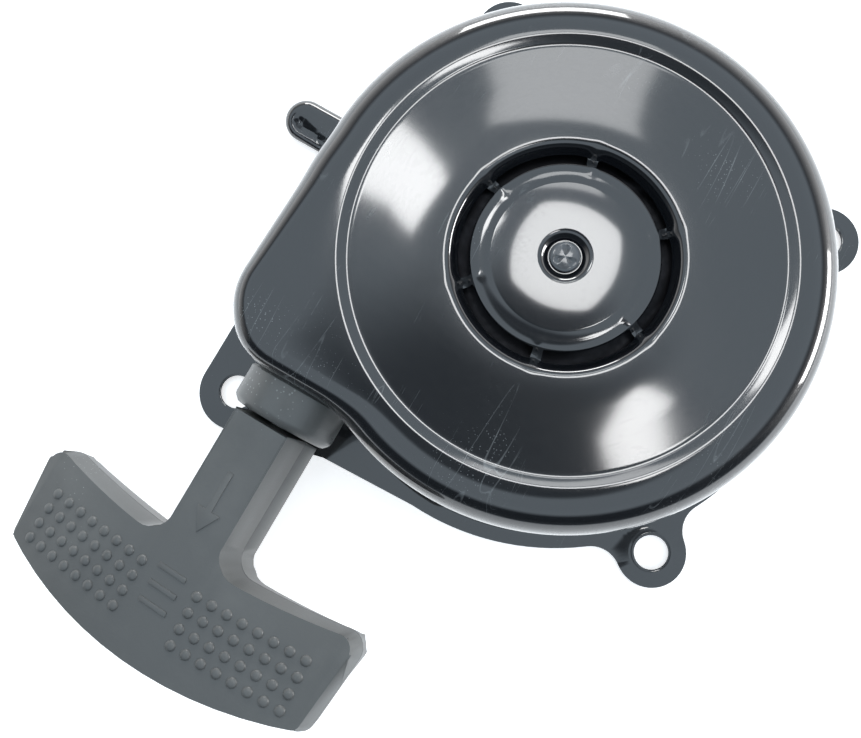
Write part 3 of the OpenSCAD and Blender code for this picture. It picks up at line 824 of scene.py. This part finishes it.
def rope_tube(name, route, step):
    """A closed tube along a route in mm, with the braid's strands standing out of its surface."""
    path = [Vector(route[0])]
    for there in [Vector(p) for p in route[1:]]:
        while (there - path[-1]).length > step:
            path.append(path[-1] + (there - path[-1]).normalized() * step)
    points, faces = [], []
    side = Vector((0, 0, 1))
    for i, centre in enumerate(path):
        ahead = (path[min(i + 1, len(path) - 1)] - path[max(i - 1, 0)]).normalized()
        side = (side - ahead * side.dot(ahead)).normalized()
        other = ahead.cross(side)
        for k in range(braid_sides):
            t = k * tau / braid_sides
            run = i * step * tau / braid_pitch
            strand = max(cos(4 * t + run), cos(4 * t - run))
            r = rope_r * (1 - braid_depth + braid_depth * strand)
            points.append(centre + side * (r * cos(t)) + other * (r * sin(t)))
    for i in range(len(path) - 1):
        for k in range(braid_sides):
            low, high = i * braid_sides, (i + 1) * braid_sides
            faces.append((low + k, low + (k + 1) % braid_sides, high + (k + 1) % braid_sides, high + k))
    faces.append(tuple(reversed(range(braid_sides))))
    faces.append(tuple(range((len(path) - 1) * braid_sides, len(path) * braid_sides)))
    tube = new_mesh(name, points, faces=faces)
    pick(tube)
    bpy.ops.object.mode_set(mode="EDIT")
    bpy.ops.mesh.select_all(action="SELECT")
    bpy.ops.mesh.normals_make_consistent(inside=False)
    bpy.ops.object.mode_set(mode="OBJECT")
    smooth(tube, 60)
    return tube


rope, tree, shader, place = finish("white cord", (0.80, 0.80, 0.76), 0.8)
wear = marked(tree, place, 120, 1500, 900)
tree.links.new(between(tree, wear.outputs["Cloud"], (0.84, 0.84, 0.80), (0.66, 0.65, 0.60)),
               shader.inputs["Base Color"])
fibre = add_node(tree, "ShaderNodeTexNoise", values={"Scale": 3500.0, "Detail": 2.0}, links={"Vector": place})
relief(tree, shader, fibre.outputs["Fac"], 0.0001, 0.6)

# Turns of the winding: distance from the axis and height, then the way out to the run.
turns = [(27.8, 18.1), (27.8, 21.8), (31.0, 21.8), (31.0, 18.1), (31.0, 18.1)]
run_y = -16.5
route = []
turn_steps = 72
for i in range(4 * turn_steps + 1):
    turn, share = divmod(i / turn_steps, 1)
    low = turns[int(turn)]
    high = turns[min(int(turn) + 1, len(turns) - 1)]
    change = toward(share, 0.80, 1.0)
    r = low[0] + (high[0] - low[0]) * change
    z = low[1] + (high[1] - low[1]) * change
    angle = pi + (i / turn_steps - 4) * tau
    route.append((r * cos(angle), r * sin(angle), z))
route.append((guide_x, run_y, guide_z))
winding = rope_tube("wound_rope", route, 0.8)
knot_y = pocket_y - 4.2
run = rope_tube("pulled_rope", [(guide_x, run_y, guide_z), (guide_x, knot_y + 1.5, guide_z)], 0.8)


def knot(name, centre, r, turns, axis_turn):
    """A rope knot drawn as a ball with two sets of winding grooves between its strands."""
    bpy.ops.mesh.primitive_uv_sphere_add(segments=32, ring_count=20, radius=r * MM)
    ball = bpy.context.object
    ball.name = name
    for vertex in ball.data.vertices:
        x, y, z = vertex.co / MM
        angle = atan2(y, x)
        groove = cos(angle + z * turns * tau / (2 * r))
        second = cos(2 * angle - z * turns * tau / (2 * r))
        swell = 1 - 0.10 * (1 - abs(groove)) - 0.05 * (1 + second)
        vertex.co = vertex.co * swell
    ball.data.transform(Matrix.Translation(Vector(centre) * MM) @ axis_turn)
    modify(ball, "SUBSURF", levels=1, render_levels=1)
    smooth(ball, 60)
    return ball


knot_low, knot_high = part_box("handle_knot")
outer_knot = knot("outer_knot", (knot_low + knot_high) / 2 / MM, 3.4, 2.2, Matrix.Rotation(pi / 2, 4, "X"))
stub_low, stub_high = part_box("reel_knot")
stub = (stub_low + stub_high) / 2 / MM
inner_knot = knot("inner_knot", (stub.x, stub.y, stub_low.z / MM + 2.2), 2.2, 2.0, Matrix.Identity(4))
for piece in (winding, run, outer_knot, inner_knot):
    piece.data.materials.append(rope)
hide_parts("rope_winding")
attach(winding, "reel")
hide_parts("reel_knot")
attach(inner_knot, "reel")
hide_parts("handle_knot")
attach(outer_knot, "rope_end")
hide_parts("rope_run")
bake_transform(run)

# ---- metal parts of the hub and the friction side ----------------------------
# Turned, pressed and plated parts. Most keep their shape and get their edges broken; the rivet head is also
# flattened and dented, and the springs, the thrust washer and the spring pin only get a material.


def metal(name, colour, tint, rough_low, rough_high, cloud_scale, grain_scale):
    """A bare or plated metal: cloudy colour, uneven polish, fine scratches."""
    material, tree, shader, place = finish(name, colour, rough_low, 1.0)
    wear = marked(tree, place, cloud_scale, 1200, 500)
    tree.links.new(between(tree, spread(tree, wear.outputs["Cloud"], 0, 1), colour, tint),
                   shader.inputs["Base Color"])
    polish = add_node(tree, "ShaderNodeTexNoise", values={"Scale": grain_scale, "Detail": 3.0},
                      links={"Vector": place})
    tree.links.new(spread(tree, polish.outputs["Fac"], rough_low, rough_high), shader.inputs["Roughness"])
    first = relief(tree, shader, wear.outputs["Scratches"], 0.00002, -0.5)
    relief(tree, shader, polish.outputs["Fac"], 0.00001, 0.4, first)
    return material


def broken_edges(node, body, material, edge):
    """A copy of a turned or pressed part with its sharp edges rounded by edge mm."""
    part = bpy.data.objects.new(node + "_finished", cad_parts[node].data.copy())
    bpy.context.collection.objects.link(part)
    pick(part)
    bpy.ops.mesh.customdata_custom_splitnormals_clear()
    bpy.ops.object.mode_set(mode="EDIT")
    bpy.ops.mesh.select_all(action="SELECT")
    bpy.ops.mesh.remove_doubles(threshold=0.002 * MM)
    bpy.ops.mesh.dissolve_limited(angle_limit=radians(0.5))
    bpy.ops.object.mode_set(mode="OBJECT")
    modify(part, "BEVEL", width=edge * MM, segments=2, limit_method="ANGLE", angle_limit=radians(35))
    smooth(part, 40)
    part.data.materials.clear()
    part.data.materials.append(material)
    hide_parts(node)
    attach(part, body)
    return part


steel = metal("turned steel", (0.58, 0.59, 0.60), (0.46, 0.47, 0.48), 0.22, 0.38, 80, 900)
zinc = metal("zinc plate", (0.66, 0.66, 0.62), (0.58, 0.56, 0.46), 0.26, 0.44, 70, 600)
spring_blue = metal("spring steel", (0.22, 0.25, 0.31), (0.34, 0.33, 0.32), 0.25, 0.42, 120, 700)
# Blackened steel, also laid on the spring cover, where its near-black is painted shade for the dark inside of
# the case seen through the vent slots.
dark_steel_and_shade = metal("blackened steel and painted shade", (0.022, 0.022, 0.024), (0.014, 0.014, 0.016), 0.4, 0.6, 90, 800)
bronze = metal("oiled bronze", (0.52, 0.37, 0.17), (0.40, 0.27, 0.12), 0.3, 0.5, 200, 1500)

# The reel's nylon is near-black as painted shade: it stands for the dark inside of the case seen through the
# vent slots.
nylon, tree, shader, place = finish("moulded nylon, near-black as painted shade", (0.025, 0.025, 0.027), 0.42)
wear = marked(tree, place, 40, 900, 300)
tree.links.new(between(tree, spread(tree, wear.outputs["Cloud"], 0, 1), (0.022, 0.022, 0.024),
                       (0.040, 0.040, 0.041)), shader.inputs["Base Color"])
tree.links.new(spread(tree, wear.outputs["Cloud"], 0.36, 0.5), shader.inputs["Roughness"])
grain = add_node(tree, "ShaderNodeTexNoise", values={"Scale": 1200.0, "Detail": 3.0}, links={"Vector": place})
relief(tree, shader, grain.outputs["Fac"], 0.00004, 0.4)

riveted, tree, shader, place = finish("painted rivet", (0.58, 0.59, 0.60), 0.3, 1.0)
wear = marked(tree, place, 80, 900, 500)
split = add_node(tree, "ShaderNodeSeparateXYZ", links={0: place})
head = add_node(tree, "ShaderNodeMath", {"operation": "GREATER_THAN"}, {1: (case_h - 1.5) * MM},
                {0: split.outputs["Z"]})
tree.links.new(between(tree, head.outputs[0], (0.58, 0.59, 0.60), (0.035, 0.04, 0.047)),
               shader.inputs["Base Color"])
bare = add_node(tree, "ShaderNodeMath", {"operation": "SUBTRACT"}, {0: 1.0}, {1: head.outputs[0]})
tree.links.new(bare.outputs[0], shader.inputs["Metallic"])
tree.links.new(spread(tree, wear.outputs["Cloud"], 0.25, 0.45), shader.inputs["Roughness"])
shader.inputs["Coat Roughness"].default_value = 0.06
tree.links.new(head.outputs[0], shader.inputs["Coat Weight"])
dents = add_node(tree, "ShaderNodeTexNoise", values={"Scale": 420.0, "Detail": 2.0}, links={"Vector": place})
relief(tree, shader, dents.outputs["Fac"], 0.0003, 0.5)

rivet_low, rivet_flat = 35, 0.12
post = broken_edges("centre_post", "case", riveted, 0.2)
for vertex in post.data.vertices:
    x, y, z = vertex.co / MM
    if z > rivet_low:
        lobe = max(0, cos(3 * atan2(y, x) + 0.5)) ** 2
        dent = 0.3 * exp(-((hypot(x, y) - 1.2) / 0.7) ** 2) * lobe
        vertex.co.z = (rivet_low + (z - rivet_low) * rivet_flat - dent) * MM
broken_edges("screw_washer", "case", zinc, 0.15)
broken_edges("centre_screw", "case", zinc, 0.2)
broken_edges("brake_spring", "case", spring_blue, 0.1)
broken_edges("guide_plate", "guide_plate", zinc, 0.2)
# The reel's near-black nylon is painted shade for the dark seen through the vent slots.
broken_edges("reel", "reel", nylon, 0.25)
broken_edges("reel_bush", "reel", bronze, 0.15)
# The spring cover's near-black steel is painted shade for the dark seen through the vent slots.
broken_edges("spring_cover", "reel", dark_steel_and_shade, 0.15)
broken_edges("cover_screws", "reel", zinc, 0.15)
broken_edges("pawl_pins", "reel", steel, 0.1)
broken_edges("pawl_1", "pawl_1", dark_steel_and_shade, 0.25)
broken_edges("pawl_2", "pawl_2", dark_steel_and_shade, 0.25)
broken_edges("knot_washer", "handle", zinc, 0.15)
for node, material in (("thrust_washer", steel), ("spring_pin", steel), ("recoil_spring", spring_blue),
                       ("pawl_spring_1", spring_blue), ("pawl_spring_2", spring_blue)):
    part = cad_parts[node]
    part.data.materials.clear()
    part.data.materials.append(material)

# ---- size ---------------------------------------------------------------------
low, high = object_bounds()
